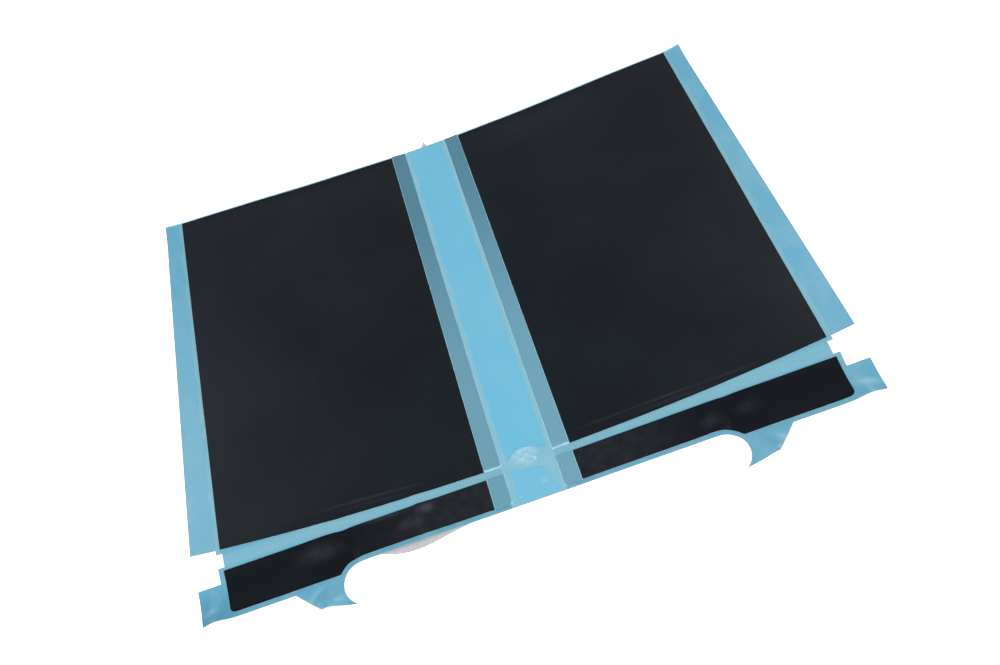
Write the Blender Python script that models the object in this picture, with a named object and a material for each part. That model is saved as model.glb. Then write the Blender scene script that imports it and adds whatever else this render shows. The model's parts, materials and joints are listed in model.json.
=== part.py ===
"""Laid-open insulating jacket of a large pouch cell: a die-cut laminate of thin films.

The jacket lies on its release liner, +Z up. X runs across it and Y along it, from the end flap
towards the far edge. Two leaves, one for each face of the cell, fold up from a narrow spine, and an
end flap in three segments folds over them along a perforated line. The creases have a memory, so
the leaves rest a few degrees open, like the covers of a thin book.
Outlines are written on the flat sheet as (u, v): u is the distance from the centre line and v the
distance from the fold line, positive on the leaves and negative on the flap. The right half is
drawn, and the left half is its mirror image. All sizes are in metres.
"""

import math

import bmesh
import bpy
from mathutils import Vector

# Overall sheet
SHEET_HALF = 0.2208  # centre line to the outer edge of a leaf
LEAF_LENGTH = 0.309  # fold line to the far edge
SPINE_HALF = 0.0155  # centre line to a leaf's crease
FLAP_DEPTH = 0.0275  # fold line to the flap's edge between the two pull tabs
FLAP_SIDE_DEPTH = 0.0353  # fold line to the flap's edge beside the lift ears
LEAF_REST_DEG = 2.9  # a leaf's rise from its crease, at rest

# Layers, from the bottom up
LINER_THICK = 0.00010
FILM_THICK = 0.00015
GLUE_THICK = 0.00007
STRIP_THICK = 0.00015
PANEL_THICK = 0.00025
LAYER_GAP = 0.00005  # between two films that lie on each other

# Clearances
FOLD_GAP = 0.00015  # each side of a crease or of the perforated line
EDGE_GAP = 0.0002  # between a panel and the strip beside it
LINER_SHOWS = 0.0004  # the liner stands out this far past the blue film
GLUE_INSET = 0.0004  # the glue stops this far inside what it holds
FLAP_MAX_DEG = 165.0  # how far the flap folds before the panels meet
MITRE_CLEARANCE = 0.0012  # between the flap's centre segment and a folded side segment

# Panels and strips
STRIP_OFFSET = 0.0015  # crease to the frosted strip
STRIP_WIDTH = 0.0116
PANEL_TOP_MARGIN = 0.0016  # black panel to the far edge
SIDE_MARGIN_FAR = 0.0133  # black panel to the leaf's outer edge, at the far edge
SIDE_MARGIN_NEAR = 0.0192  # the same, at the fold line
STRIP_BAND = 0.0030  # fold line to the end of a frosted strip
LEAF_BAND_INNER = 0.0018  # fold line to the leaf's black panel, on the straight stretch
LEAF_BAND_SIDE = 0.0076  # fold line to the leaf's black panel, at its outer corner
LEAF_BAND_CURVE_U = 0.0600  # where that straight stretch turns into a curve
LEAF_BAND_STEPS = 12
FLAP_BAND_INNER = 0.0038  # fold line to the flap's black panel, beside the spine
FLAP_BAND_SIDE = 0.0059  # fold line to the flap's black panel, at its outer corner
FLAP_BORDER = 0.0027  # blue border round the flap's black panel
STRIP_END_BORDER = 0.0019  # blue border past the end of a flap strip
FLAP_CORNER_R = 0.0035
FLAP_FILLET_R = 0.0030

# Relief notch between a leaf and its flap, and the lift ear
NECK_DEPTH = 0.0205  # outer edge in to the narrowest point on the fold line
LEAF_STEP_V = 0.0050
LEAF_STEP_U = 0.0040
LEAF_FOOT_INNER_V = 0.0081
LEAF_FOOT_OUTER_V = 0.0097
FLAP_STEP_V = 0.0040
FLAP_STEP_U = 0.0045
EAR_WIDTH = 0.0152
EAR_TOP_V = 0.0132

# Pull tabs, each beside a round bite out of the flap's edge
NOTCH_CENTRE_U = 0.1156
NOTCH_RADIUS = 0.0142
NOTCH_END_DEG = -57.0  # where the bite ends in the tab's tip
TAB_WIDTH = 0.0442  # from the bite's centre to the tab's outer root
TAB_DROP = 0.0153  # the tab's outer edge falls this far at 45 degrees

# Die-cut nib on the spine's far edge
NIB_LEFT = 0.0030
NIB_RIGHT = 0.0020
NIB_HEIGHT = 0.0062

# Clear glue web on the spine
WEB_HALF = 0.0130
WEB_FOLD_MARGIN = 0.0050
WEB_END_MARGIN = 0.0008

ARC_STEP = math.radians(9)

# Heights of the layers
FILM_Z = LINER_THICK + LAYER_GAP
GLUE_Z = FILM_Z + FILM_THICK + LAYER_GAP
TOP_Z = GLUE_Z + GLUE_THICK + LAYER_GAP
AXIS_Z = FILM_Z + FILM_THICK + LAYER_GAP

# Derived edges
NOTCH_CENTRE_V = -(FLAP_DEPTH + NOTCH_RADIUS)
STRIP_INNER = SPINE_HALF + STRIP_OFFSET
PANEL_INNER = STRIP_INNER + STRIP_WIDTH
TAB_ROOT_U = NOTCH_CENTRE_U + TAB_WIDTH
TAB_FOOT_V = -(FLAP_SIDE_DEPTH + TAB_DROP)
TIP_V = NOTCH_CENTRE_V + NOTCH_RADIUS * math.sin(math.radians(NOTCH_END_DEG))
LOWEST_V = min(TIP_V, TAB_FOOT_V) - LINER_SHOWS
HIGHEST_V = LEAF_LENGTH + LINER_SHOWS + NIB_HEIGHT
FOLD_Y = -(HIGHEST_V + LOWEST_V) / 2  # puts the origin at the middle of the sheet's box

MATERIALS = {
    "blue_film": ((0.17, 0.49, 0.64), 0.25),
    "white_liner": ((0.72, 0.73, 0.70), 0.45),
    "clear_glue": ((0.22, 0.56, 0.76), 0.12),
    "frosted_strip": ((0.12, 0.30, 0.40), 0.5),
    "black_panel": ((0.013, 0.016, 0.021), 0.6),
}


def clear_scene():
    for old in list(bpy.data.objects):
        bpy.data.objects.remove(old, do_unlink=True)


def material(name):
    found = bpy.data.materials.get(name)
    if found:
        return found
    colour, roughness = MATERIALS[name]
    made = bpy.data.materials.new(name)
    made.use_nodes = True
    shader = made.node_tree.nodes["Principled BSDF"]
    shader.inputs["Base Color"].default_value = (*colour, 1.0)
    shader.inputs["Roughness"].default_value = roughness
    shader.inputs["Metallic"].default_value = 0.0
    return made


def hinge(name, place, parent=None, rise=0.0):
    """An empty on a joint's axis. The place is given on the flat sheet, and rise turns it about Y."""
    empty = bpy.data.objects.new(name, None)
    bpy.context.scene.collection.objects.link(empty)
    empty.parent = parent
    empty.location = Vector(place) - (Vector(parent["place"]) if parent else Vector())
    empty.rotation_euler.y = rise
    empty["place"] = tuple(place)
    return empty


def arc(centre_u, centre_v, radius, start, end):
    """Points of an arc, both ends included; the angles are in radians."""
    steps = max(2, math.ceil(abs(end - start) / ARC_STEP))
    angles = [start + (end - start) * i / steps for i in range(steps + 1)]
    return [
        (centre_u + radius * math.cos(a), centre_v + radius * math.sin(a))
        for a in angles
    ]


def rounded(before, corner, after, radius):
    """The points that replace a corner by an arc of that radius."""
    corner, before, after = Vector(corner), Vector(before), Vector(after)
    first = (before - corner).normalized()
    second = (after - corner).normalized()
    half = first.angle(second) / 2
    centre = corner + (first + second).normalized() * radius / math.sin(half)
    start = corner + first * radius / math.tan(half) - centre
    end = corner + second * radius / math.tan(half) - centre
    turn = start.angle_signed(end)
    begin = math.atan2(start.y, start.x)
    return arc(centre.x, centre.y, radius, begin, begin - turn)


def plate(name, outline, low, thick, finish, pivot, side=1):
    """A flat solid film. side is 1 for the right half, or -1 for its mirror image."""
    place = Vector(pivot["place"]) if pivot else Vector()
    mesh = bmesh.new()
    corners = [
        mesh.verts.new(Vector((side * u, v + FOLD_Y, low)) - place) for u, v in outline
    ]
    face = mesh.faces.new(corners)
    top = bmesh.ops.extrude_face_region(mesh, geom=[face])["geom"]
    raised = [v for v in top if isinstance(v, bmesh.types.BMVert)]
    bmesh.ops.translate(mesh, verts=raised, vec=(0, 0, thick))
    bmesh.ops.recalc_face_normals(mesh, faces=mesh.faces)
    data = bpy.data.meshes.new(name)
    mesh.to_mesh(data)
    mesh.free()
    data.materials.append(material(finish))
    body = bpy.data.objects.new(name, data)
    bpy.context.scene.collection.objects.link(body)
    body.parent = pivot
    return body


def leaf_film(grow):
    """A leaf's film; grow moves its free edges outwards."""
    inner = SPINE_HALF + FOLD_GAP
    neck = SHEET_HALF - NECK_DEPTH + grow
    step = neck + LEAF_STEP_U
    outer = SHEET_HALF + grow
    far = LEAF_LENGTH + grow
    return [
        (inner, FOLD_GAP),
        (neck, FOLD_GAP),
        (neck, LEAF_STEP_V - grow),
        (step, LEAF_STEP_V - grow),
        (step, LEAF_FOOT_INNER_V - grow),
        (outer, LEAF_FOOT_OUTER_V - grow),
        (outer, far),
        (inner, far),
    ]


def flap_film(grow):
    """A flap's side segment, with its ear, its pull tab and the round bite."""
    inner = SPINE_HALF + FOLD_GAP
    neck = SHEET_HALF - NECK_DEPTH + grow
    step = neck + FLAP_STEP_U
    edge = -FLAP_SIDE_DEPTH - grow
    bite = arc(
        NOTCH_CENTRE_U,
        NOTCH_CENTRE_V,
        NOTCH_RADIUS - grow,
        math.radians(NOTCH_END_DEG),
        math.pi / 2,
    )
    return [
        (inner, -FOLD_GAP),
        (inner, -FLAP_DEPTH - grow),
        *reversed(bite),
        (TAB_ROOT_U - TAB_DROP + grow, TAB_FOOT_V - grow),
        (TAB_ROOT_U + grow, edge),
        (step + EAR_WIDTH, edge),
        (step + EAR_WIDTH, -EAR_TOP_V + grow),
        (step, -EAR_TOP_V + grow),
        (step, -FLAP_STEP_V + grow),
        (neck, -FLAP_STEP_V + grow),
        (neck, -FOLD_GAP),
    ]


def leaf_panel(inner, inset):
    """The leaf's black panel; its near edge curves away from the fold line."""
    outer = SHEET_HALF - SIDE_MARGIN_NEAR - inset
    bend = [(inner + inset, LEAF_BAND_INNER + inset)]
    for i in range(LEAF_BAND_STEPS + 1):
        share = i / LEAF_BAND_STEPS
        u = LEAF_BAND_CURVE_U + (outer - LEAF_BAND_CURVE_U) * share
        v = LEAF_BAND_INNER + (LEAF_BAND_SIDE - LEAF_BAND_INNER) * share**2
        bend.append((u, v + inset))
    return [
        *bend,
        (SHEET_HALF - SIDE_MARGIN_FAR - inset, LEAF_LENGTH - PANEL_TOP_MARGIN - inset),
        (inner + inset, LEAF_LENGTH - PANEL_TOP_MARGIN - inset),
    ]


def flap_panel(inner, inset):
    """The flap's black panel, concentric with the bite in the film's edge."""
    outer = SHEET_HALF - SIDE_MARGIN_NEAR - inset
    top_inner = (inner + inset, -FLAP_BAND_INNER - inset)
    top_outer = (outer, -FLAP_BAND_SIDE - inset)
    edge = -FLAP_SIDE_DEPTH + FLAP_BORDER + inset
    reach = NOTCH_RADIUS + FLAP_BORDER + inset
    fillet_v = edge + FLAP_FILLET_R
    drop = fillet_v - NOTCH_CENTRE_V
    run = math.sqrt((reach + FLAP_FILLET_R) ** 2 - drop**2)
    touch = math.atan2(drop, run)
    fillet_u = NOTCH_CENTRE_U + run
    corner = rounded(top_outer, (outer, edge), (fillet_u, edge), FLAP_CORNER_R)
    bend = arc(fillet_u, fillet_v, FLAP_FILLET_R, -math.pi / 2, touch - math.pi)
    bite = arc(NOTCH_CENTRE_U, NOTCH_CENTRE_V, reach, touch, math.pi / 2)
    return [
        top_inner,
        top_outer,
        *corner,
        *bend,
        *bite[1:],
        (inner + inset, -FLAP_DEPTH + FLAP_BORDER + inset),
    ]


def leaf_strip():
    """The frosted strip beside a leaf's crease."""
    outer = PANEL_INNER - EDGE_GAP
    return [
        (STRIP_INNER, STRIP_BAND),
        (outer, STRIP_BAND),
        (outer, LEAF_LENGTH),
        (STRIP_INNER, LEAF_LENGTH),
    ]


def flap_strip():
    """The frosted strip on a flap segment, with its corner by the spine rounded off."""
    outer = PANEL_INNER - EDGE_GAP
    end = -FLAP_DEPTH + STRIP_END_BORDER
    top = -STRIP_BAND
    corner = rounded((outer, end), (STRIP_INNER, end), (STRIP_INNER, top), FLAP_CORNER_R)
    return [(STRIP_INNER, top), (outer, top), (outer, end), *corner]


def across(half, low, high):
    """A rectangle on the centre line."""
    return [(-half, low), (half, low), (half, high), (-half, high)]


def centre_segment(grow):
    """The flap's centre segment, mitred so that the folded side segments pass it."""
    slope = math.sin(math.radians(180 - FLAP_MAX_DEG)) + 0.01
    root = SPINE_HALF - MITRE_CLEARANCE
    end = -FLAP_DEPTH - grow
    tip = root + slope * end
    return [(-root, -FOLD_GAP), (-tip, end), (tip, end), (root, -FOLD_GAP)]


def spine_liner():
    far = LEAF_LENGTH + LINER_SHOWS
    half = SPINE_HALF - FOLD_GAP
    nib = [(NIB_RIGHT, far), (0.0, far + NIB_HEIGHT), (-NIB_LEFT, far)]
    return [(-half, FOLD_GAP), (half, FOLD_GAP), (half, far), *nib, (-half, far)]


def build_spine():
    half = SPINE_HALF - FOLD_GAP
    film = across(half, FOLD_GAP, LEAF_LENGTH)
    web = across(WEB_HALF, WEB_FOLD_MARGIN, LEAF_LENGTH - WEB_END_MARGIN)
    plate("spine_release_liner", spine_liner(), 0, LINER_THICK, "white_liner", None)
    plate("spine_carrier_film", film, FILM_Z, FILM_THICK, "blue_film", None)
    plate("spine_glue_web", web, GLUE_Z, GLUE_THICK, "clear_glue", None)


def build_centre_flap():
    pivot = hinge("centre_flap_hinge", (0, FOLD_Y, AXIS_Z))
    film = centre_segment(0)
    root = SPINE_HALF - MITRE_CLEARANCE - WEB_FOLD_MARGIN
    tip = film[2][0] - WEB_END_MARGIN
    end = -FLAP_DEPTH + WEB_END_MARGIN
    web = [(-root, -WEB_FOLD_MARGIN), (-tip, end), (tip, end), (root, -WEB_FOLD_MARGIN)]
    liner = centre_segment(LINER_SHOWS)
    name = "centre_flap"
    plate(name + "_release_liner", liner, 0, LINER_THICK, "white_liner", pivot)
    plate(name + "_carrier_film", film, FILM_Z, FILM_THICK, "blue_film", pivot)
    plate(name + "_glue_web", web, GLUE_Z, GLUE_THICK, "clear_glue", pivot)


def laminate(name, film, liner, glue, panel, strip, pivot, side):
    """The five films of a leaf or of a flap's side segment."""
    plate(name + "_release_liner", liner, 0, LINER_THICK, "white_liner", pivot, side)
    plate(name + "_carrier_film", film, FILM_Z, FILM_THICK, "blue_film", pivot, side)
    plate(name + "_glue_layer", glue, GLUE_Z, GLUE_THICK, "clear_glue", pivot, side)
    plate(name + "_black_panel", panel, TOP_Z, PANEL_THICK, "black_panel", pivot, side)
    plate(name + "_frosted_strip", strip, TOP_Z, STRIP_THICK, "frosted_strip", pivot, side)


def build_half(label, side):
    rise = -side * math.radians(LEAF_REST_DEG)
    crease = (side * SPINE_HALF, FOLD_Y, AXIS_Z)
    leaf = hinge(label + "_leaf_hinge", crease, rise=rise)
    laminate(
        label + "_leaf",
        leaf_film(0),
        leaf_film(LINER_SHOWS),
        leaf_panel(STRIP_INNER, GLUE_INSET),
        leaf_panel(PANEL_INNER, 0),
        leaf_strip(),
        leaf,
        side,
    )
    flap = hinge(label + "_flap_hinge", (side * PANEL_INNER, FOLD_Y, AXIS_Z), leaf)
    laminate(
        label + "_flap",
        flap_film(0),
        flap_film(LINER_SHOWS),
        flap_panel(STRIP_INNER, GLUE_INSET),
        flap_panel(PANEL_INNER, 0),
        flap_strip(),
        flap,
        side,
    )


clear_scene()
build_spine()
build_centre_flap()
build_half("left", -1)
build_half("right", 1)
print(f"fold line at y = {FOLD_Y:.5f} m, crease axes at z = {AXIS_Z:.5f} m")
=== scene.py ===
# %% [markdown]
# # The insulating jacket of a large pouch cell, laid open
# The jacket is a stack of thin films. A pale blue carrier film holds two large black panels, one
# for each face of the cell, and two low ones for the flap that closes its end. Frosted strips run
# beside a narrow spine, clear glue fills the spine, and a whitish release liner backs the sheet.
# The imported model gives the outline, the place and the body of every film. Its films are flat and
# stiff, though. This script bends them as thin plastic bends, joins the ones that are one film on
# the real jacket, and gives each its finish. It starts by loading that model.

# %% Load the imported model
import json
import math

import bmesh
import bpy
from mathutils import Matrix, Vector, noise


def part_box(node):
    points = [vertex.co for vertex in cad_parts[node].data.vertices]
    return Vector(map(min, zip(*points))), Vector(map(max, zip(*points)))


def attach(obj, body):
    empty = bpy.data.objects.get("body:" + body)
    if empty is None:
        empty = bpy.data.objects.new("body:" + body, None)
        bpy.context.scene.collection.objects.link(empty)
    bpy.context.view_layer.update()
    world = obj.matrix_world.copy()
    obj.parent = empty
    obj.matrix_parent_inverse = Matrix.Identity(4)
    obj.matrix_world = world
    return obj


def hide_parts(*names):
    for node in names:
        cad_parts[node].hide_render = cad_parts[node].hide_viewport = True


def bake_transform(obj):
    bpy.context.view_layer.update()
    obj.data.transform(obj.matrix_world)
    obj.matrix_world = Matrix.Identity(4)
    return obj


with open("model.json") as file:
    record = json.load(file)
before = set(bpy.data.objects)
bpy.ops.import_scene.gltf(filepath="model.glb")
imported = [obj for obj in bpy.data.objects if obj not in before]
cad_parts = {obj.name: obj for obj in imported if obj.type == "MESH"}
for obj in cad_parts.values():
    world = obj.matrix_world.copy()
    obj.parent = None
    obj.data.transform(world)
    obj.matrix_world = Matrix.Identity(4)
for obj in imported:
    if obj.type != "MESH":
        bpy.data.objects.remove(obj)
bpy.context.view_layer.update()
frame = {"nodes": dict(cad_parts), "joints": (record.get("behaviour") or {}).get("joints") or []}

# %% [markdown]
# Everything hangs on two creases beside the spine and on one perforated fold line. The joints hold
# those places, so they are read from there. The leaves stay a few degrees open, like the covers of
# a thin book, and the axis of a flap's fold leans by the same angle as its leaf.

# %% Read the creases, the fold line and the rise of the leaves
joints = {joint["name"]: joint for joint in frame["joints"]}
CREASE = joints["right_leaf_fold"]["pos_m"][0]
FOLD_Y = joints["right_leaf_fold"]["pos_m"][1]
fold_axis = joints["right_flap_fold"]["axis"]
RISE = fold_axis[2] / fold_axis[0]
FAR_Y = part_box("spine_carrier_film")[1].y
FLAP_DEPTH = FOLD_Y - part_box("centre_flap_carrier_film")[0].y
LEAF_LENGTH = FAR_Y - FOLD_Y
SHEET_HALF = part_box("right_leaf_carrier_film")[1].x
print(f"creases at {CREASE * 1000:.1f} mm, leaves rise {math.degrees(math.atan(RISE)):.1f} degrees")

# %% [markdown]
# The layers lie on each other with a hair of air between them, from the liner at the bottom to the
# panels at the top. Typing the heights in again would let the two models drift apart, so they are
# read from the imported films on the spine, which lies flat on the table.

# %% Read the heights of the layers
LINER_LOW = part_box("spine_release_liner")[0].z
LINER_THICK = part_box("spine_release_liner")[1].z - LINER_LOW
FILM_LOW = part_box("spine_carrier_film")[0].z
FILM_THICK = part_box("spine_carrier_film")[1].z - FILM_LOW
GLUE_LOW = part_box("spine_glue_web")[0].z
GLUE_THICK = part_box("spine_glue_web")[1].z - GLUE_LOW
AIR = FILM_LOW - LINER_LOW - LINER_THICK
TOP_LOW = GLUE_LOW + GLUE_THICK + AIR
PANEL_THICK = 0.00025
STRIP_THICK = 0.00015
print(f"film at {FILM_LOW * 1000:.2f} mm, panels at {TOP_LOW * 1000:.2f} mm")

# %% [markdown]
# ## How the sheet lies
# A film this thin is never flat. A cloth simulation could bend it, but it would bend each layer by
# itself, and layers a quarter of a millimetre apart would cut through each other. So one height
# function bends every layer in the same way. Its two large bends are the leaves, which rise from
# their creases, and the flap, which sags from the fold line back to the table. Both bends are soft.

# %% Set how softly the sheet bends
CREASE_SOFTNESS = 0.003
FOLD_SOFTNESS = 0.005
SAG_LENGTH = 0.0155
print(f"the flap loses most of its height within {2 * SAG_LENGTH * 1000:.0f} mm of the fold line")

# %% [markdown]
# Hands leave buckles in such a sheet. Each one here is a soft bump or hollow in a row of six numbers,
# because a row is easy to move and to weigh against its neighbours, which a sculpted shape isn't. The
# numbers are the place on X, the distance from the fold line, the half length, the half width, the
# turn in degrees and the height.

# %% List the buckles of the two halves
BUCKLES = [
    # the two soft hollows across the flap, above the round bites, and the swells beside them
    (-0.1215, -0.0150, 0.0045, 0.0150, 14, -0.0018),
    (-0.1380, -0.0150, 0.0120, 0.0100, 10, 0.0015),
    (0.1265, -0.0165, 0.0042, 0.0130, -10, -0.0013),
    (0.1130, -0.0160, 0.0075, 0.0080, 0, 0.0009),
    (0.1400, -0.0160, 0.0080, 0.0080, 0, 0.0008),
    # the kink beside the left half's third of the fold
    (-0.0738, -0.0100, 0.0022, 0.0110, 6, 0.0012),
    (-0.0690, -0.0080, 0.0030, 0.0060, 6, 0.0007),
    (-0.0720, 0.0030, 0.0040, 0.0030, 0, 0.0005),
    # long low ridges where the leaves roll over towards the fold
    (-0.1040, 0.0080, 0.0420, 0.0020, -3, 0.0010),
    (0.0960, 0.0066, 0.0600, 0.0020, -1, 0.0010),
    # lifted edges of the pull tabs and ears
    (-0.1390, -0.0490, 0.0078, 0.0080, 0, 0.0058),
    (0.1430, -0.0500, 0.0078, 0.0080, 0, 0.0034),
    (-0.2110, -0.0370, 0.0070, 0.0070, 0, 0.0034),
    (0.2100, -0.0370, 0.0080, 0.0070, 0, 0.0034),
    (0.2050, -0.0290, 0.0100, 0.0060, 0, 0.0009),
    # a lifted stretch over the loose liner, and two slow waves along the far edge
    (-0.0750, -0.0300, 0.0220, 0.0060, 0, 0.0010),
    (-0.1000, 0.3050, 0.0400, 0.0200, 0, -0.0010),
    (0.0900, 0.3050, 0.0500, 0.0200, 0, -0.0012),
    # the far edge turns up a little, and its corners more
    (-0.1150, 0.3105, 0.0900, 0.0030, 0, 0.0008),
    (0.1150, 0.3105, 0.0900, 0.0030, 0, 0.0008),
    (-0.2230, 0.3110, 0.0090, 0.0120, 0, 0.0014),
    (0.2230, 0.3110, 0.0090, 0.0120, 0, 0.0024),
]
print(f"{len(BUCKLES)} buckles, the highest {max(row[5] for row in BUCKLES) * 1000:.1f} mm")

# %% [markdown]
# On the spine the two creases meet the fold line, and the film has nowhere to go, so it puckers into
# small sharp ridges. They are rows of the same six numbers, only much finer. The last two lift the
# film over small bubbles.

# %% List the puckers on the spine
PUCKERS = [
    (-0.0090, 0.0060, 0.0068, 0.0011, 34, 0.0007),
    (0.0010, 0.0098, 0.0055, 0.0010, 4, 0.0007),
    (0.0080, 0.0078, 0.0045, 0.0011, -28, 0.0005),
    (0.0026, 0.0024, 0.0034, 0.0006, -44, 0.0014),
    (-0.0060, 0.0022, 0.0050, 0.0010, 18, 0.0005),
    (0.0070, 0.0010, 0.0040, 0.0009, 6, 0.0004),
    (0.0068, -0.0170, 0.0018, 0.0018, 0, 0.0004),
    (-0.0110, -0.0222, 0.0010, 0.0010, 0, 0.0003),
]
print(f"{len(PUCKERS)} puckers, the highest {max(row[5] for row in PUCKERS) * 1000:.1f} mm")

# %% [markdown]
# The height is a sum: the rise of the leaf, the buckles, the puckers and a slow ripple. The buckles
# fade out towards the crease, because the spine lies flat, and the puckers fade out away from it.
# A square root of two squares gives the soft corner at a crease and at the fold line.

# %% Add the bends up to one height
FREE_REACH = 0.012
SPINE_REACH = 0.003
RIPPLE_HEIGHT = 0.00025
RIPPLES_PER_METRE = 22
RIPPLE_LAYER = 3.0


def buckle_height(x, v, buckles):
    """The buckles' heights added up, at a place given by X and by the distance from the fold."""
    total = 0.0
    for place_x, place_v, half_x, half_v, turn, height in buckles:
        away_x = x - place_x
        away_v = v - place_v
        cosine = math.cos(math.radians(turn))
        sine = math.sin(math.radians(turn))
        along = (away_x * cosine + away_v * sine) / half_x
        across = (away_v * cosine - away_x * sine) / half_v
        total += height * math.exp(-along * along - across * across)
    return total


def sheet_height(x, y):
    """How far the sheet stands above its flat place, at a place on the table."""
    past_crease = abs(x) - CREASE
    rise = RISE * (past_crease + math.hypot(past_crease, CREASE_SOFTNESS)) / 2
    v = y - FOLD_Y
    past_fold = (math.hypot(v, FOLD_SOFTNESS) - v) / 2
    rise *= math.exp(-past_fold / SAG_LENGTH)
    free = min(1.0, max(0.0, past_crease / FREE_REACH))
    ripple_place = Vector((x * RIPPLES_PER_METRE, y * RIPPLES_PER_METRE, RIPPLE_LAYER))
    ripple = RIPPLE_HEIGHT * noise.noise(ripple_place)
    on_spine = min(1.0, max(0.0, -past_crease / SPINE_REACH))
    pucker = on_spine * buckle_height(x, v, PUCKERS)
    return max(0.0, rise + free * (buckle_height(x, v, BUCKLES) + ripple) + pucker)


print(f"outer edge stands {sheet_height(SHEET_HALF, 0.05) * 1000:.1f} mm high")

# %% [markdown]
# The release liner follows the sheet above it. Under the left flap it has come loose and lies lower,
# so its own height takes a share away there. The share grows softly from the fold line outwards.

# %% Let the liner hang loose under the left flap
LOOSE_PLACE = -0.075
LOOSE_HALF = 0.035
LOOSE_EVERYWHERE = 0.12
LOOSE_MORE = 0.73


def liner_height(x, y):
    """How far the liner stands above its flat place, at a place on the table."""
    past_fold = min(1.0, max(0.0, (FOLD_Y - y) / FLAP_DEPTH))
    near_place = math.exp(-(((x - LOOSE_PLACE) / LOOSE_HALF) ** 2))
    loose = LOOSE_EVERYWHERE + LOOSE_MORE * near_place
    return sheet_height(x, y) * (1 - loose * past_fold * past_fold * (3 - 2 * past_fold))


flap_edge = FOLD_Y - FLAP_DEPTH
drop = sheet_height(LOOSE_PLACE, flap_edge) - liner_height(LOOSE_PLACE, flap_edge)
print(f"the loose liner lies {drop * 1000:.1f} mm lower than the film at the flap's edge")

# %% [markdown]
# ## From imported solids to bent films
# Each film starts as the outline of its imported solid, so the two models can't differ. The sides and
# the lower face are thrown away, and the triangles of the top face are dissolved to one flat shape.

# %% Take the flat outline of a packed film
MERGE = 1e-6
FACES_UP = 0.9


def add_outline(shape, node):
    """Adds the top face of a packed film to the shape, flat and in one piece."""
    piece = bmesh.new()
    piece.from_mesh(frame["nodes"][node].data)
    bmesh.ops.remove_doubles(piece, verts=piece.verts, dist=MERGE)
    under = [f for f in piece.faces if f.normal.z < FACES_UP]
    bmesh.ops.delete(piece, geom=under, context="FACES")
    bmesh.ops.dissolve_faces(piece, faces=piece.faces)
    for vert in piece.verts:
        vert.co.z = 0
    kept = bpy.data.meshes.new("outline")
    piece.to_mesh(kept)
    piece.free()
    shape.from_mesh(kept)
    bpy.data.meshes.remove(kept)


print(f"{len(frame['nodes'])} packed films can lend their outline")

# %% [markdown]
# One large face can't bend. Subdividing it would follow its odd outline, and remeshing would round
# its corners. Cutting it by upright planes leaves the outline exact and gives neat square cells. The
# bends are sharpest at the fold line, so the cells are finest there.

# %% Cut a flat shape into a grid
def cut_across(shape, axis, places, faces=None):
    """Cuts the shape, or only these faces of it, by planes that stand on X (0) or on Y (1)."""
    for place in places:
        point = Vector((0, 0, 0))
        point[axis] = place
        normal = Vector((0, 0, 0))
        normal[axis] = 1
        chosen = shape.faces if faces is None else faces(shape)
        # a dict keeps its order, so the cut comes out the same on every run; a set wouldn't
        edges = dict.fromkeys(edge for face in chosen for edge in face.edges)
        verts = dict.fromkeys(vert for face in chosen for vert in face.verts)
        geometry = list(verts) + list(edges) + list(chosen)
        bmesh.ops.bisect_plane(
            shape, geom=geometry, dist=MERGE, plane_co=point, plane_no=normal
        )


def span(shape, axis):
    """The lowest and highest place of the shape on one axis."""
    places = [vert.co[axis] for vert in shape.verts]
    return min(places), max(places)


def steps(first, last, pitch):
    """Places from first to last, a pitch apart."""
    count = round((last - first) / pitch)
    return [first + (last - first) * i / count for i in range(count + 1)]


GRID_HALF = 0.222
FLAP_ROWS = steps(-0.054, -0.012, 0.002)
FOLD_FROM = -0.011
FOLD_TO = 0.016
LEAF_ROWS = steps(0.020, 0.310, 0.005)


def grid(shape, pitch_x=0.002, pitch_fold=0.001):
    """Cuts the shape into cells, and into the finest ones beside the fold line."""
    left, right = span(shape, 0)
    near, far = span(shape, 1)
    columns = steps(-GRID_HALF, GRID_HALF, pitch_x)
    rows = FLAP_ROWS + steps(FOLD_FROM, FOLD_TO, pitch_fold) + LEAF_ROWS
    cut_across(shape, 0, [x for x in columns if left < x < right])
    cut_across(shape, 1, [FOLD_Y + v for v in rows if near < FOLD_Y + v < far])


print(f"rows outside the fold: {len(FLAP_ROWS)} on the flap, {len(LEAF_ROWS)} on a leaf")

# %% [markdown]
# A finished film needs thickness, its place in height, and a flat map of itself. The map holds the
# flat sheet's own metres. A pattern that reads it stays on the film when the film folds, which a
# pattern on plain object coordinates would not. A Solidify modifier could give the thickness, but an
# extrusion straight up keeps the layers parallel, and it leaves a closed mesh with nothing live.

# %% Turn a flat grid into a bent film
SHARP_FROM = 40


def make_film(shape, name, finish, low, thick, height=sheet_height):
    """Gives a flat grid its map, thickness, bends and finish, and puts it in the scene."""
    flat_map = shape.loops.layers.uv.new("flat")
    for face in shape.faces:
        for loop in face.loops:
            loop[flat_map].uv = (loop.vert.co.x, loop.vert.co.y - FOLD_Y)
    made = bmesh.ops.extrude_face_region(shape, geom=shape.faces[:])["geom"]
    raised = {part for part in made if isinstance(part, bmesh.types.BMVert)}
    for vert in shape.verts:
        vert.co.z = low + height(vert.co.x, vert.co.y)
        if vert in raised:
            vert.co.z += thick
    bmesh.ops.recalc_face_normals(shape, faces=shape.faces)
    mesh = bpy.data.meshes.new(name)
    shape.to_mesh(mesh)
    shape.free()
    mesh.shade_smooth()
    mesh.set_sharp_from_angle(angle=math.radians(SHARP_FROM))
    mesh.materials.append(finish)
    film = bpy.data.objects.new(name, mesh)
    bpy.context.scene.collection.objects.link(film)
    print(f"{name}: {len(mesh.polygons)} faces")
    return film


print(f"film {FILM_THICK * 1000:.2f} mm, panel {PANEL_THICK * 1000:.2f} mm thick")

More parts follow.
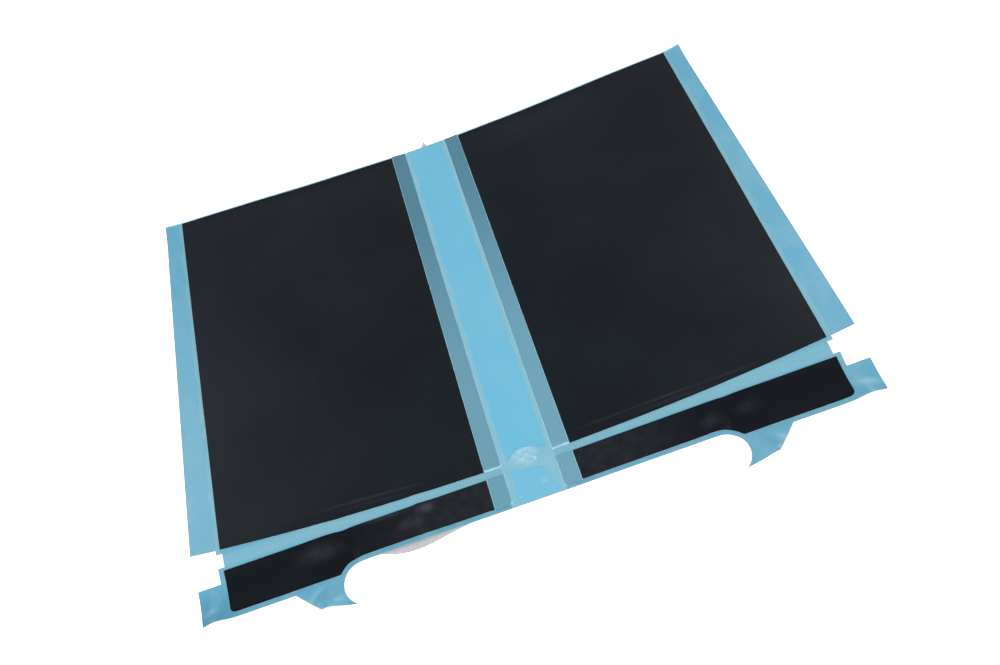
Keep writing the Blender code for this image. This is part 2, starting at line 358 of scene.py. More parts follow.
# %% [markdown]
# ## Finishes
# Every finish is a node tree that reads the flat map. The trees share a few parts, and each part is
# a helper here, so a finish below reads like a recipe. The first helper starts a material. It sets
# roughness and gloss straight on the shader, because they are the same all over a film.

# %% Start a finish
def start_finish(name, roughness, specular):
    """A new material, its tree, its shader and the flat map that its patterns read."""
    finish = bpy.data.materials.new(name)
    finish.use_nodes = True
    tree = finish.node_tree
    shader = tree.nodes["Principled BSDF"]
    shader.inputs["Roughness"].default_value = roughness
    shader.inputs["Specular IOR Level"].default_value = specular
    place = tree.nodes.new("ShaderNodeUVMap")
    place.uv_map = "flat"
    return finish, tree, shader, place.outputs[0]


def tell(finish):
    """Prints how large a finished node tree is."""
    print(f"{finish.name}: {len(finish.node_tree.nodes)} nodes")


# %% [markdown]
# Two helpers make patterns: a cloud of soft random values for anything stained or worn, and a soft
# round spot for a bubble or a handled place. A stretched map turns round patches into streaks.

# %% Helpers that make patterns
def stretch(tree, place, scale):
    """The flat map, scaled in its own X and Y."""
    mapping = tree.nodes.new("ShaderNodeMapping")
    mapping.inputs["Scale"].default_value = (*scale, 1)
    tree.links.new(place, mapping.inputs["Vector"])
    return mapping.outputs[0]


def cloud(tree, place, scale, detail=3.0, roughness=0.5):
    """Soft random values; scale is in spots per metre."""
    node = tree.nodes.new("ShaderNodeTexNoise")
    node.inputs["Scale"].default_value = scale
    node.inputs["Detail"].default_value = detail
    node.inputs["Roughness"].default_value = roughness
    tree.links.new(place, node.inputs["Vector"])
    return node.outputs["Fac"]


def spot(tree, place, centre, inner, outer, strength):
    """A round soft spot on the flat map: full strength inside, nothing outside."""
    mapping = tree.nodes.new("ShaderNodeMapping")
    mapping.inputs["Location"].default_value = (-centre[0], -centre[1], 0)
    tree.links.new(place, mapping.inputs["Vector"])
    away = tree.nodes.new("ShaderNodeVectorMath")
    away.operation = "LENGTH"
    tree.links.new(mapping.outputs[0], away.inputs[0])
    return between(tree, away.outputs["Value"], inner, outer, strength, 0.0)


# %% [markdown]
# The other helpers join patterns: arithmetic, a soft step from one value to another, a mix of two
# colours, and a bump for grain that is too fine to model.

# %% Helpers that join patterns
def sums(tree, operation, first, second, clamp=False):
    """Arithmetic on two values; each is a plain number or another node's value."""
    node = tree.nodes.new("ShaderNodeMath")
    node.operation = operation
    node.use_clamp = clamp
    for socket, value in zip(node.inputs, (first, second)):
        if isinstance(value, (int, float)):
            socket.default_value = value
        else:
            tree.links.new(value, socket)
    return node.outputs[0]


def between(tree, value, low, high, out_low=0.0, out_high=1.0):
    """Maps a value from low..high to out_low..out_high with soft ends."""
    node = tree.nodes.new("ShaderNodeMapRange")
    node.interpolation_type = "SMOOTHSTEP"
    node.inputs["From Min"].default_value = low
    node.inputs["From Max"].default_value = high
    node.inputs["To Min"].default_value = out_low
    node.inputs["To Max"].default_value = out_high
    tree.links.new(value, node.inputs["Value"])
    return node.outputs["Result"]


def mixed(tree, amount, first, second):
    """A colour between two colours; each is three numbers or another node's colour."""
    node = tree.nodes.new("ShaderNodeMix")
    node.data_type = "RGBA"
    tree.links.new(amount, node.inputs[0])
    for socket, colour in ((node.inputs[6], first), (node.inputs[7], second)):
        if isinstance(colour, tuple):
            socket.default_value = (*colour, 1)
        else:
            tree.links.new(colour, socket)
    return node.outputs[2]


def grain(tree, shader, height, strength, distance):
    """Fine relief from a pattern; distance is the relief's depth in metres."""
    node = tree.nodes.new("ShaderNodeBump")
    node.inputs["Strength"].default_value = strength
    node.inputs["Distance"].default_value = distance
    tree.links.new(height, node.inputs["Height"])
    tree.links.new(node.outputs[0], shader.inputs["Normal"])


# %% [markdown]
# The carrier film is glossy and pale blue, and it looks deeper where it has wetted out on the
# liner. Beside the black panels and along the fold it has lifted a little, and looks paler there.
# A painted image could show this, but its patches would blur close up. Here a cloud of noise, pushed
# up towards the panel's edge, gives the same ragged pale patches at any distance.

# %% Blues of the carrier film
WET_BLUE = (0.090, 0.282, 0.402)
# painted highlight along the film's cut far edge
PAINTED_EDGE_HIGHLIGHT = (0.400, 0.600, 0.680)
PALE_BLUE = (0.152, 0.325, 0.398)
DEEP_BLUE = (0.052, 0.205, 0.300)
SPINE_BLUE = (0.165, 0.365, 0.455)
PANEL_EDGE_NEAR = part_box("right_flap_black_panel")[1].x
PANEL_EDGE_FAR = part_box("right_leaf_black_panel")[1].x
PANEL_LEAN = (PANEL_EDGE_FAR - PANEL_EDGE_NEAR) / LEAF_LENGTH
print(f"the panels' outer edges lean by {math.degrees(math.atan(PANEL_LEAN)):.1f} degrees")

# %% [markdown]
# The recipe goes from places to colours. It first finds how far a point lies past the panel's leaning
# edge and from the fold line. From that it builds the share of pale film, then the share of deep film,
# and at last it lays the colours over each other.

# %% Blue carrier film
def carrier_film():
    """The film of the two halves, with its wetted, lifted and bent places."""
    finish, tree, shader, place = start_finish("jacket_blue_film", 0.30, 0.25)
    parts = tree.nodes.new("ShaderNodeSeparateXYZ")
    tree.links.new(place, parts.inputs[0])
    half = sums(tree, "ABSOLUTE", parts.outputs[0], 0)
    # how far past the black panel's outer edge
    edge = sums(tree, "MULTIPLY_ADD", parts.outputs[1], PANEL_LEAN)
    edge.node.inputs[2].default_value = PANEL_EDGE_NEAR
    past_panel = sums(tree, "SUBTRACT", half, edge)
    near_panel = between(tree, past_panel, 0.0, 0.0055, 1.0, 0.0)
    on_border = between(tree, past_panel, -0.0005, 0.0)
    # ragged patches where the border has lifted, on the leaves only
    ragged = cloud(tree, stretch(tree, place, (2.2, 1.0)), 55, 4.0)
    patch = sums(tree, "MULTIPLY_ADD", near_panel, 0.45)
    tree.links.new(ragged, patch.node.inputs[2])
    patch = between(tree, patch, 0.70, 0.76)
    patch = sums(tree, "MULTIPLY", patch, on_border)
    on_leaf = between(tree, parts.outputs[1], -0.002, 0.002)
    patch = sums(tree, "MULTIPLY", patch, on_leaf)
    # a pale line along the fold, fine spots, and wide patches that haven't wetted out
    fold = sums(tree, "ABSOLUTE", parts.outputs[1], 0)
    by_fold = between(tree, fold, 0.0022, 0.0060, 0.75, 0.0)
    spots = between(tree, cloud(tree, place, 700, 1.0), 0.70, 0.76)
    spots = sums(tree, "MULTIPLY", spots, 0.35)
    wet_edge = cloud(tree, stretch(tree, place, (1.8, 0.8)), 36, 4.0)
    unwet = between(tree, wet_edge, 0.50, 0.56, 0.0, 0.28)
    patch = sums(tree, "MULTIPLY", patch, 0.8)
    patch = sums(tree, "MAXIMUM", patch, unwet)
    pale = sums(tree, "MAXIMUM", patch, by_fold)
    pale = sums(tree, "ADD", pale, spots, True)
    # the base drifts between two blues, and the flap and its left ear are deeper
    drift = between(tree, cloud(tree, place, 9, 2.0), 0.35, 0.65, 0.0, 0.35)
    base = mixed(tree, drift, WET_BLUE, PALE_BLUE)
    deep = between(tree, parts.outputs[1], -0.028, -0.006, 0.30, 0.0)
    left_ear = spot(tree, place, (-0.212, -0.034), 0.006, 0.022, 0.55)
    deep = sums(tree, "ADD", deep, left_ear, True)
    base = mixed(tree, deep, base, DEEP_BLUE)
    colour = mixed(tree, pale, base, PALE_BLUE)
    # beside the crease it takes the spine's blue, and its cut far edge gets a painted highlight
    by_crease = between(tree, half, 0.0172, 0.0182, 1.0, 0.0)
    colour = mixed(tree, by_crease, colour, SPINE_BLUE)
    far_edge_highlight = between(tree, parts.outputs[1], LEAF_LENGTH - 0.0016, LEAF_LENGTH - 0.0006)
    colour = mixed(tree, far_edge_highlight, colour, PAINTED_EDGE_HIGHLIGHT)
    tree.links.new(colour, shader.inputs["Base Color"])
    grain(tree, shader, cloud(tree, place, 260, 2.0), 0.12, 0.0006)
    return finish


FILM_FINISH = carrier_film()
tell(FILM_FINISH)

# %% [markdown]
# On the spine no panel covers the film. It is the same film, but it is smoother and lies flat, so it
# is glossier and lighter. At the crossing of the folds its puckers have turned whitish. Small ridges
# alone would catch too little light for that, so a crumpled pale spot is laid over them as well: it is
# partly the film's whitish colour and partly a painted highlight on the ridges.

# %% Film of the spine
SPINE_ROUGHNESS = 0.16
SPINE_GLOSS = 0.5
GLUE_BLUE = (0.110, 0.355, 0.505)
GLUE_PALE = (0.200, 0.400, 0.480)
PUCKER_WHITE_AND_HIGHLIGHT = (0.340, 0.560, 0.640)
PUCKER_PLACE = (-0.0005, 0.0055)


def spine_film():
    """The film between the creases, with its whitish crossing, partly a painted highlight."""
    finish, tree, shader, place = start_finish(
        "spine_blue_film", SPINE_ROUGHNESS, SPINE_GLOSS
    )
    soft = between(tree, cloud(tree, place, 60, 3.0), 0.4, 0.7, 0.0, 0.5)
    colour = mixed(tree, soft, SPINE_BLUE, GLUE_PALE)
    # the crossing: partly the film's whitish colour, partly a painted highlight on its puckers
    over = spot(tree, place, PUCKER_PLACE, 0.003, 0.011, 0.55)
    crumple = between(tree, cloud(tree, place, 330, 3.0), 0.35, 0.65, 0.3, 1.0)
    over = sums(tree, "MULTIPLY", over, crumple)
    colour = mixed(tree, over, colour, PUCKER_WHITE_AND_HIGHLIGHT)
    tree.links.new(colour, shader.inputs["Base Color"])
    grain(tree, shader, cloud(tree, place, 320, 2.0), 0.15, 0.0005)
    return finish


SPINE_FINISH = spine_film()
tell(SPINE_FINISH)

# %% [markdown]
# Clear glue lies on the spine. Where it has wetted out it turns the film below a deep, wet blue, and
# it is paler over a few bubbles. Real clear glue could be a transparent shader, but a layer this thin
# shows only its tone, and an opaque shader renders without noise. A bubble is a place and a radius.

# %% Clear glue
BUBBLES = [
    ((0.0064, -0.0169), 0.0026),
    ((-0.0111, -0.0220), 0.0012),
    ((0.0052, 0.0215), 0.0008),
    ((-0.0021, 0.0188), 0.0006),
]


def clear_glue():
    """Wetted-out glue, with drifts, specks and bubbles."""
    finish, tree, shader, place = start_finish("clear_glue", 0.18, 0.25)
    drift = between(tree, cloud(tree, place, 12, 2.0), 0.3, 0.7, 0.0, 0.22)
    specks = between(tree, cloud(tree, place, 480, 0.0), 0.780, 0.800, 0.0, 0.5)
    amount = sums(tree, "ADD", drift, specks, True)
    for centre, size in BUBBLES:
        bubble = spot(tree, place, centre, 0.6 * size, size, 0.5)
        amount = sums(tree, "ADD", amount, bubble, True)
    tree.links.new(mixed(tree, amount, GLUE_BLUE, GLUE_PALE), shader.inputs["Base Color"])
    grain(tree, shader, cloud(tree, place, 90, 2.0), 0.10, 0.0008)
    return finish


GLUE_FINISH = clear_glue()
tell(GLUE_FINISH)

# %% [markdown]
# Under a panel the glue is hidden, apart from a pale rim where it squeezes out along the edge. The
# rim is a fraction of a millimetre wide, so it needs no more than two tones and a dull gloss.

# %% Pale rim of the glue
RIM_PALE = (0.300, 0.530, 0.610)


def glue_rim():
    """The pale glue that shows round a panel."""
    finish, tree, shader, place = start_finish("glue_rim", 0.35, 0.2)
    amount = between(tree, cloud(tree, place, 200, 3.0), 0.3, 0.7)
    tree.links.new(mixed(tree, amount, GLUE_PALE, RIM_PALE), shader.inputs["Base Color"])
    return finish


RIM_FINISH = glue_rim()
tell(RIM_FINISH)

# %% [markdown]
# The black panels are a matte laminate with a fine pebbled grain. The grain catches a little light
# where the sheet bends, so the bump matters more than the colour. The blacks are four: two that
# drift on the leaves, a deeper one on the flap that is painted shade, and a grey one that is a
# painted sheen where the laminate buckles.

# %% Blacks of the panels
BLACK = (0.0062, 0.0086, 0.0116)
BLACK_WORN = (0.0082, 0.0112, 0.0148)
# painted shade: the flap's black is darker than the leaves'
BLACK_FLAP_SHADE = (0.0040, 0.0056, 0.0080)
# painted sheen: a grey black that stands in for light caught where the laminate buckles
BLACK_SHEEN = (0.0370, 0.0430, 0.0510)
print(f"the flap's black is {100 * BLACK_FLAP_SHADE[1] / BLACK[1]:.0f}% of the leaf's")

# %% [markdown]
# In a few places where the laminate buckles, a sheen is painted into its colour. A row holds the
# place, how far the spot is squeezed in X, its reach and its strength. A squeeze of 0.05 draws a spot
# out to a long streak, which is what the painted highlights on the ridges beside the fold line need.

# %% List the painted sheens
PAINTED_SHEENS = [
    # painted sheens beside the flap's hollows and its kink
    ((-0.1405, -0.0150), 0.40, 0.0085, 0.42),
    ((-0.0700, -0.0085), 0.60, 0.0046, 0.90),
    ((-0.0810, -0.0150), 0.50, 0.0060, 0.45),
    ((-0.0980, -0.0058), 0.10, 0.0022, 0.40),
    ((0.1145, -0.0176), 0.55, 0.0060, 0.36),
    ((0.1390, -0.0166), 0.55, 0.0065, 0.26),
    # painted highlights along the ridges beside the fold line
    ((-0.1200, 0.0112), 0.05, 0.0012, 0.30),
    ((-0.1010, 0.0101), 0.05, 0.0012, 0.40),
    ((-0.0830, 0.0089), 0.05, 0.0012, 0.30),
    ((0.0550, 0.0091), 0.04, 0.0012, 0.30),
    ((0.0970, 0.0088), 0.04, 0.0012, 0.40),
    ((0.1370, 0.0081), 0.04, 0.0012, 0.30),
]
print(f"{len(PAINTED_SHEENS)} handled places")

# %% [markdown]
# The recipe adds the painted sheens up, breaks them with a cloud so that they look patchy and not
# sprayed, and uses them to mix the grey black into the deep one. On the flap a painted sheen also
# makes the black a little greyer towards the spine.

# %% Black laminate
def black_panel():
    """Matte black laminate, with painted sheens and a pebbled grain."""
    finish, tree, shader, place = start_finish("black_laminate", 0.34, 0.07)
    drift = between(tree, cloud(tree, place, 14, 3.0), 0.3, 0.7)
    parts = tree.nodes.new("ShaderNodeSeparateXYZ")
    tree.links.new(place, parts.inputs[0])
    half = sums(tree, "ABSOLUTE", parts.outputs[0], 0)
    # painted sheen: on the flap the black turns greyer towards the spine
    inner = between(tree, half, 0.050, 0.125, 0.29, 0.0)
    on_flap = between(tree, parts.outputs[1], -0.004, 0.0, 1.0, 0.0)
    painted_sheen = sums(tree, "MULTIPLY", inner, on_flap)
    for centre, squeeze, reach, strength in PAINTED_SHEENS:
        squeezed = stretch(tree, place, (squeeze, 1.0))
        middle = (centre[0] * squeeze, centre[1])
        sheen_spot = spot(tree, squeezed, middle, 0.0, reach, strength)
        painted_sheen = sums(tree, "ADD", painted_sheen, sheen_spot, True)
    # a cloud breaks up the painted sheen
    sheen_breakup = between(tree, cloud(tree, place, 130, 4.0, 0.65), 0.30, 0.70, 0.45, 1.0)
    painted_sheen = sums(tree, "MULTIPLY", painted_sheen, sheen_breakup)
    colour = mixed(tree, drift, BLACK, BLACK_WORN)
    # painted shade: the darker black on the flap
    colour = mixed(tree, on_flap, colour, BLACK_FLAP_SHADE)
    colour = mixed(tree, painted_sheen, colour, BLACK_SHEEN)
    tree.links.new(colour, shader.inputs["Base Color"])
    pebble = cloud(tree, place, 1500, 2.0, 0.6)
    grain(tree, shader, pebble, 0.30, 0.0004)
    return finish


BLACK_FINISH = black_panel()
tell(BLACK_FINISH)

# %% [markdown]
# The strips beside the spine are frosted and translucent. The blue below them shows through as a
# greyed satin blue. A translucent shader would need the layers below it to be exactly right, so the
# strip carries the mixed tone itself. It is speckled, and paler towards the flap.

# %% Frosted strips
FROST = (0.060, 0.158, 0.216)
FROST_PALE = (0.118, 0.262, 0.338)


def frosted_strip():
    """Satin grey-blue, speckled, and paler towards the flap."""
    finish, tree, shader, place = start_finish("frosted_strip", 0.42, 0.12)
    parts = tree.nodes.new("ShaderNodeSeparateXYZ")
    tree.links.new(place, parts.inputs[0])
    along = between(tree, parts.outputs[1], 0.05, 0.30, 1.0, 0.0)
    speckle = between(tree, cloud(tree, place, 900, 2.0), 0.2, 0.8, -0.15, 0.15)
    right_hand = between(tree, parts.outputs[0], -0.01, 0.01, -0.12, 0.06)
    amount = sums(tree, "MULTIPLY", along, 0.85)
    amount = sums(tree, "ADD", amount, right_hand)
    amount = sums(tree, "ADD", amount, speckle, True)
    tree.links.new(mixed(tree, amount, FROST, FROST_PALE), shader.inputs["Base Color"])
    grain(tree, shader, cloud(tree, place, 1200, 2.0), 0.20, 0.0003)
    return finish


FROST_FINISH = frosted_strip()
tell(FROST_FINISH)

# %% [markdown]
# The release liner is a greyish paper-like film. At rest only a thin rim and a crescent of it show,
# but its whole back is seen when the jacket folds up. So it gets a fine fibrous mottle, drawn out
# along the leaf, as paper has from the way it was rolled.

# %% Release liner
LINER_GREY = (0.36, 0.37, 0.37)
LINER_PALE = (0.42, 0.43, 0.43)


def release_liner():
    """Pale grey, with a fine fibrous mottle."""
    finish, tree, shader, place = start_finish("release_liner_film", 0.45, 0.2)
    fibre = between(tree, cloud(tree, stretch(tree, place, (1.0, 0.4)), 900, 4.0), 0.3, 0.7)
    tree.links.new(mixed(tree, fibre, LINER_GREY, LINER_PALE), shader.inputs["Base Color"])
    grain(tree, shader, fibre, 0.15, 0.0002)
    return finish


LINER_FINISH = release_liner()
tell(LINER_FINISH)

# %% [markdown]
# ## Carrier film
# On the real jacket the film of a leaf runs on into its flap, and a row of short cuts lets it fold.
# So a leaf's film and a flap's film are joined here into one sheet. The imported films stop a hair
# before the fold line and the crease, so that they can turn. Those edges are snapped onto the lines
# and merged.

# %% Join a leaf's outline to its flap's
HAIR = 0.00015
SNAP_REACH = 0.0004
JOIN = 5e-5


def snap(shape, axis, near, place):
    """Moves every vertex that lies close to near, on one axis, to the place."""
    for vert in shape.verts:
        if abs(vert.co[axis] - near) < SNAP_REACH:
            vert.co[axis] = place


def join_over_fold(side_names, side):
    """The flat outline of a leaf and its flap in one piece; side is -1 or 1."""
    shape = bmesh.new()
    for node in side_names:
        add_outline(shape, node)
    snap(shape, 1, FOLD_Y + HAIR, FOLD_Y)
    snap(shape, 1, FOLD_Y - HAIR, FOLD_Y)
    snap(shape, 0, side * (CREASE + HAIR), side * CREASE)
    bmesh.ops.remove_doubles(shape, verts=shape.verts, dist=JOIN)
    return shape


print(f"edges up to {(HAIR + SNAP_REACH) * 1000:.2f} mm off a line are snapped onto it")

# %% [markdown]
# The cuts could be drawn as a dotted line in the finish, but a real cut lets the liner show through
# and stays a cut in the mesh. So two planes cut a narrow row along the fold line, more
# planes divide only that row, and every other cell of it is removed.

# %% Perforate a flat sheet
CUT_PITCH = 0.0023
CUT_LENGTH = 0.0011
CUT_HALF_WIDTH = 0.00022


def perforate(shape, first, last):
    """Cuts the row of short slots that lets the sheet fold."""

    def in_row(cut):
        return [
            f for f in cut.faces if abs(f.calc_center_median().y - FOLD_Y) < CUT_HALF_WIDTH
        ]

    cut_across(shape, 1, [FOLD_Y - CUT_HALF_WIDTH, FOLD_Y + CUT_HALF_WIDTH])
    starts = steps(first, last, CUT_PITCH)[:-1]
    edges = [x + shift for x in starts for shift in (0.0, CUT_LENGTH)]
    cut_across(shape, 0, edges, in_row)
    slots = []
    for face in in_row(shape):
        middle = face.calc_center_median().x
        if any(x < middle < x + CUT_LENGTH for x in starts):
            slots.append(face)
    bmesh.ops.delete(shape, geom=slots, context="FACES")
    return len(starts)


print(f"cuts {CUT_LENGTH * 1000:.1f} mm long, {CUT_PITCH * 1000:.1f} mm apart")

# %% [markdown]
# A joined sheet is not moved by a leaf or a flap: its place is only baked into its mesh.
# The row of cuts ends some 45 mm short of the sheet's outer edge.

# %% Carrier films of the two halves
ROW_FROM = CREASE + 0.0015
ROW_TO = SHEET_HALF - 0.0450


def fold_over(piece):
    """Bakes the piece's place into its mesh; the piece is not bent over the fold."""
    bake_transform(piece)


for label, side in (("left", -1), ("right", 1)):
    nodes = [f"{label}_leaf_carrier_film", f"{label}_flap_carrier_film"]
    sheet = join_over_fold(nodes, side)
    grid(sheet)
    ends = sorted((side * ROW_FROM, side * ROW_TO))
    count = perforate(sheet, *ends)
    film = make_film(sheet, f"{label}_film", FILM_FINISH, FILM_LOW, FILM_THICK)
    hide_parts(*nodes)
    fold_over(film)
    print(f"{label} film has {count} cuts along its fold")

# %% [markdown]
# The film on the spine runs on into the flap's centre segment, with the same row of cuts. The packed
# segment tapers, so that it can turn between its neighbours. On the flat sheet there is no such
# wedge, so its sides are put back onto the creases. The puckers need a much finer grid here.

# %% Carrier film of the spine and the centre of the flap
SPINE_CORE = 0.004
FINE_PITCH = 0.0005
CENTRE_ROW = CREASE - 0.001


def join_centre(nodes):
    """The flat outline of the spine and the flap's centre segment in one piece."""
    shape = bmesh.new()
    for node in nodes:
        add_outline(shape, node)
    for vert in shape.verts:
        if abs(vert.co.x) > SPINE_CORE:
            vert.co.x = math.copysign(CREASE, vert.co.x)
    snap(shape, 1, FOLD_Y, FOLD_Y)
    bmesh.ops.remove_doubles(shape, verts=shape.verts, dist=JOIN)
    return shape


CENTRE_FILMS = ["spine_carrier_film", "centre_flap_carrier_film"]
sheet = join_centre(CENTRE_FILMS)
grid(sheet, pitch_x=FINE_PITCH, pitch_fold=FINE_PITCH)
perforate(sheet, -CENTRE_ROW, CENTRE_ROW)
film = make_film(sheet, "centre_film", SPINE_FINISH, FILM_LOW, FILM_THICK)
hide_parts(*CENTRE_FILMS)
fold_over(film)

# %% [markdown]
# ## Release liner
# The liner is the lowest layer. It stands out a little past the film all round. Between the left pull
# tab and the spine it has slipped, and a pale crescent of it shows. Moving the few vertices of that
# edge is simpler than a second outline, and it keeps the rest of the liner exact.

# %% Pull the slipped crescent out
CRESCENT_FROM = -0.1035
CRESCENT_TO = -0.0430
CRESCENT_DEPTH = 0.0050
CRESCENT_LEAN = 0.7
CRESCENT_SOFTNESS = 1.5
EDGE_FROM = -0.8 * FLAP_DEPTH


def pull_crescent(shape):
    """Pulls the liner's edge out between the pull tab and the spine, where it has slipped."""
    for vert in shape.verts:
        share = (vert.co.x - CRESCENT_FROM) / (CRESCENT_TO - CRESCENT_FROM)
        v = vert.co.y - FOLD_Y
        if vert.is_boundary and 0 < share < 1 and v < EDGE_FROM:
            bow = math.sin(math.pi * share**CRESCENT_LEAN) ** CRESCENT_SOFTNESS
            vert.co.y -= CRESCENT_DEPTH * bow


print(f"crescent {(CRESCENT_TO - CRESCENT_FROM) * 1000:.1f} mm long")

# %% [markdown]
# The liners are joined over the fold line just as the films are, but they have no cuts. They need
# fewer cells, because they show no puckers.

# %% Release liners
LINER_PITCH = 0.001

for label, side in (("left", -1), ("right", 1)):
    nodes = [f"{label}_leaf_release_liner", f"{label}_flap_release_liner"]
    sheet = join_over_fold(nodes, side)
    grid(sheet)
    if label == "left":
        pull_crescent(sheet)
    liner = make_film(
        sheet, f"{label}_liner", LINER_FINISH, LINER_LOW, LINER_THICK, liner_height
    )
    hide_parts(*nodes)
    fold_over(liner)

CENTRE_LINERS = ["spine_release_liner", "centre_flap_release_liner"]
sheet = join_centre(CENTRE_LINERS)
grid(sheet, pitch_x=LINER_PITCH)
liner = make_film(
    sheet, "centre_liner", LINER_FINISH, LINER_LOW, LINER_THICK, liner_height
)
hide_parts(*CENTRE_LINERS)
fold_over(liner)

# %% [markdown]
# ## Panels, strips and the glue under them
# On top of the film lie the black panels and the frosted strips, each on its glue. None of them
# crosses a crease or the fold line, so each rides on one leaf or one flap, and it bends with the
# sheet because it shares the sheet's height. The glue stands out past its panel as a pale rim, and a
# strip is drawn in by a hair, so that a fine line shows between it and the panel.

# %% Films that ride on one body
RIM = 0.0006
STRIP_GAP = 0.00025


def grow(shape, amount):
    """Moves the outline of a single flat face outwards, or inwards if the amount is negative."""
    bmesh.ops.inset_individual(
        shape, faces=shape.faces[:], thickness=-amount, use_even_offset=True
    )
    largest = max(shape.faces, key=lambda f: f.calc_area())
    ring = [f for f in shape.faces if f is not largest]
    bmesh.ops.delete(shape, geom=ring, context="FACES")


def riding_film(node, body, finish, low, thick, margin=0.0):
    """Bends one packed film with the sheet, and lets it ride on its body."""
    shape = bmesh.new()
    add_outline(shape, node)
    if margin:
        grow(shape, margin)
    grid(shape)
    film = make_film(shape, f"{node}_bent", finish, low, thick)
    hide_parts(node)
    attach(film, body)


for body in ("left_leaf", "right_leaf", "left_flap", "right_flap"):
    riding_film(
        f"{body}_glue_layer", body, RIM_FINISH, GLUE_LOW, GLUE_THICK, RIM
    )
    riding_film(
        f"{body}_black_panel", body, BLACK_FINISH, TOP_LOW, PANEL_THICK
    )
    riding_film(
        f"{body}_frosted_strip",
        body,
        FROST_FINISH,
        TOP_LOW,
        STRIP_THICK,
        -STRIP_GAP,
    )

# %% [markdown]
# ## Glue on the spine
# A web of clear glue covers the spine and the flap's centre segment. It was pressed on by hand, so its
# fronts aren't straight: they stop in a slow curve before the fold line, and they waver. A pool
# starts from the few corners of that shape. A vertex bevel rounds them, the edges are divided into
# short steps, and two sizes of noise push the steps about. The noise gets a fixed seed, because
# without one it starts from the clock, and the fronts would differ on every run. A texture could fake
# the front, but the edge of real glue has a height that catches the light.

# %% Pour a flat pool of glue
EDGE_STEP = 0.0012
SLOW_WAVER = 130
FINE_WAVER = 520
CORNER_STEPS = 5
WAVER_SEED = 7
noise.seed_set(WAVER_SEED)


def pool(points, rounding, waver):
    """A flat pool of glue: its corners are rounded, and its edge wavers."""
    shape = bmesh.new()
    shape.faces.new([shape.verts.new((x, FOLD_Y + v, 0)) for x, v in points])
    corners = shape.verts[:]
    bmesh.ops.bevel(
        shape,
        geom=corners,
        offset=rounding,
        segments=CORNER_STEPS,
        profile=0.5,
        material=-1,
        affect="VERTICES",
    )
    for edge in shape.edges[:]:
        cuts = int(edge.calc_length() / EDGE_STEP)
        if cuts:
            bmesh.ops.subdivide_edges(shape, edges=[edge], cuts=cuts)
    for vert in shape.verts:
        slow = noise.noise_vector(vert.co * SLOW_WAVER)
        fine = noise.noise_vector(vert.co * FINE_WAVER)
        push = slow + 0.5 * fine
        vert.co.x += waver * push.x
        vert.co.y += 0.5 * waver * push.y
    return shape


print(f"a glue front has a step every {EDGE_STEP * 1000:.1f} mm")

# %% [markdown]
# The two webs are given by their corners: X, and the distance from the fold line. They leave the
# puckered crossing free, because the film there has lifted out of the glue. Each one rides on its
# own body.

# %% Glue webs of the spine and the flap
WAVER = 0.0011
FAR_FRONT = LEAF_LENGTH - 0.0008


def web(name, body, node, points, rounding):
    """A pool of glue that bends with the sheet and rides on one body."""
    shape = pool(points, rounding, WAVER)
    grid(shape, pitch_x=FINE_PITCH, pitch_fold=FINE_PITCH)
    made = make_film(shape, name, GLUE_FINISH, GLUE_LOW, GLUE_THICK)
    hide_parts(node)
    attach(made, body)


SPINE_WEB = [
    (-0.0132, 0.0040),
    (-0.0085, 0.0088),
    (-0.0010, 0.0102),
    (0.0070, 0.0082),
    (0.0138, 0.0046),
    (0.0138, FAR_FRONT),
    (-0.0132, FAR_FRONT),
]
FLAP_WEB = [
    (-0.0128, -0.0042),
    (0.0010, -0.0046),
    (0.0080, -0.0064),
    (0.0120, -0.0130),
    (0.0134, -0.0266),
    (-0.0132, -0.0266),
]
web("spine_web", "spine", "spine_glue_web", SPINE_WEB, 0.0012)
web("centre_flap_web", "centre_flap", "centre_flap_glue_web", FLAP_WEB, 0.0015)

# %% [markdown]
# ## Studio
# The jacket lies on a plain white floor. The floor glows a little by itself, which keeps it white out
# to the horizon and lets only a faint shadow show, as on a light table.

# %% White floor
FLOOR_HALF = 6
FLOOR_DROP = 0.0004
FLOOR_GLOW = 0.8
shape = bmesh.new()
bmesh.ops.create_grid(shape, x_segments=1, y_segments=1, size=FLOOR_HALF)
mesh = bpy.data.meshes.new("floor")
shape.to_mesh(mesh)
shape.free()
mesh.transform(Matrix.Translation((0, 0, -FLOOR_DROP)))
floor = bpy.data.objects.new("floor", mesh)
bpy.context.scene.collection.objects.link(floor)
finish = bpy.data.materials.new("white_floor")
finish.use_nodes = True
shader = finish.node_tree.nodes["Principled BSDF"]
shader.inputs["Base Color"].default_value = (0.9, 0.9, 0.9, 1)
shader.inputs["Roughness"].default_value = 0.9
shader.inputs["Specular IOR Level"].default_value = 0.0
shader.inputs["Emission Color"].default_value = (1, 1, 1, 1)
shader.inputs["Emission Strength"].default_value = FLOOR_GLOW
mesh.materials.append(finish)
print(f"floor {2 * FLOOR_HALF} m wide, {FLOOR_DROP * 1000:.1f} mm below the liner")

# %% [markdown]
# Glossy film shows its surroundings, so the sky matters as much as the lamps. It is bright near the
# horizon, which gives a low view its white ground, and dim overhead, so that the black panels stay
# black when they are seen from above.

# %% Sky
SKY_FROM = 0.10
SKY_TO = 0.46
HORIZON = 1.7
OVERHEAD = 0.22
world = bpy.data.worlds.new("studio")
world.use_nodes = True
tree = world.node_tree
direction = tree.nodes.new("ShaderNodeTexCoord")
parts = tree.nodes.new("ShaderNodeSeparateXYZ")
tree.links.new(direction.outputs["Generated"], parts.inputs[0])
walls = between(tree, parts.outputs[2], SKY_FROM, SKY_TO, HORIZON, OVERHEAD)
tree.links.new(walls, tree.nodes["Background"].inputs["Strength"])
tree.nodes["Background"].inputs["Color"].default_value = (1, 1, 1, 1)
bpy.context.scene.world = world
print(f"the horizon is {HORIZON / OVERHEAD:.0f} times as bright as the sky overhead")

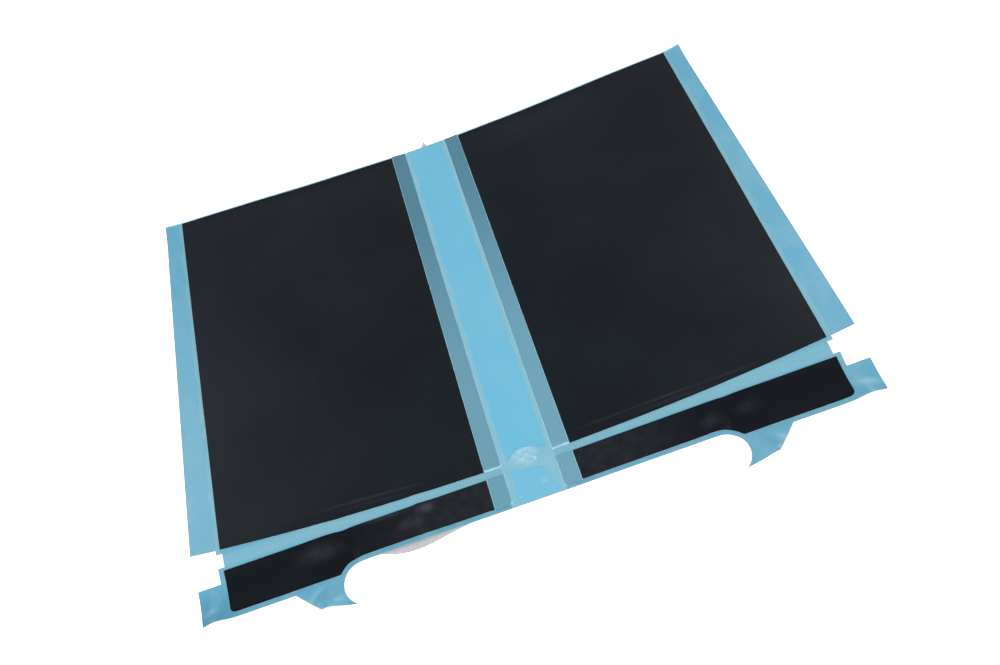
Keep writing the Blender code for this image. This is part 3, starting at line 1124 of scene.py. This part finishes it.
# %% [markdown]
# Four soft boxes light the jacket. The near one is large and does most of the work: it stands in
# front and high up, where the films can't mirror it into the camera. The left and right ones show
# the buckles, and a weak, low and wide one fills in from the far side.

# %% Soft boxes
def soft_box(name, place, size, watts):
    """A rectangular lamp that points at the middle of the jacket."""
    light = bpy.data.lights.new(name, "AREA")
    light.shape = "RECTANGLE"
    light.size = size[0]
    light.size_y = size[1]
    light.energy = watts
    lamp = bpy.data.objects.new(name, light)
    bpy.context.scene.collection.objects.link(lamp)
    lamp.location = place
    to_middle = Vector((0, 0, 0)) - Vector(place)
    lamp.rotation_euler = to_middle.to_track_quat("-Z", "Y").to_euler()
    print(f"{name}: {watts} W")


soft_box("far_box", (0.0, 1.60, 0.60), (1.6, 0.2), 2)
soft_box("left_box", (-0.8, 0.7, 1.0), (0.4, 0.4), 5)
soft_box("right_box", (0.8, 0.7, 1.0), (0.4, 0.4), 6)
soft_box("near_box", (-0.1, -1.0, 1.45), (1.0, 0.6), 29.5)

# %% [markdown]
# The camera looks down at the jacket from the flap's end, turned a little on its own axis. Its place
# is given in metres and its three turns in degrees, in the order in which they are made: the roll
# first, then the tilt and then the yaw.

# %% Camera
CAMERA_PLACE = (0.0194, -0.4339, 0.5372)
CAMERA_YAW = 1.41
CAMERA_DOWN = 52.91
CAMERA_ROLL = -20.55
camera_data = bpy.data.cameras.new("studio_camera")
camera_data.lens = 35.0
camera_data.sensor_width = 36.0
camera_data.clip_start = 0.01
camera = bpy.data.objects.new("studio_camera", camera_data)
bpy.context.scene.collection.objects.link(camera)
camera.matrix_world = (
    Matrix.Translation(CAMERA_PLACE)
    @ Matrix.Rotation(math.radians(CAMERA_YAW), 4, "Z")
    @ Matrix.Rotation(math.radians(90 - CAMERA_DOWN), 4, "X")
    @ Matrix.Rotation(math.radians(CAMERA_ROLL), 4, "Z")
)
bpy.context.scene.camera = camera
bpy.context.scene.view_settings.view_transform = "Standard"
print(f"the camera looks down by {CAMERA_DOWN:.0f} degrees through a {camera_data.lens:.0f} mm lens")
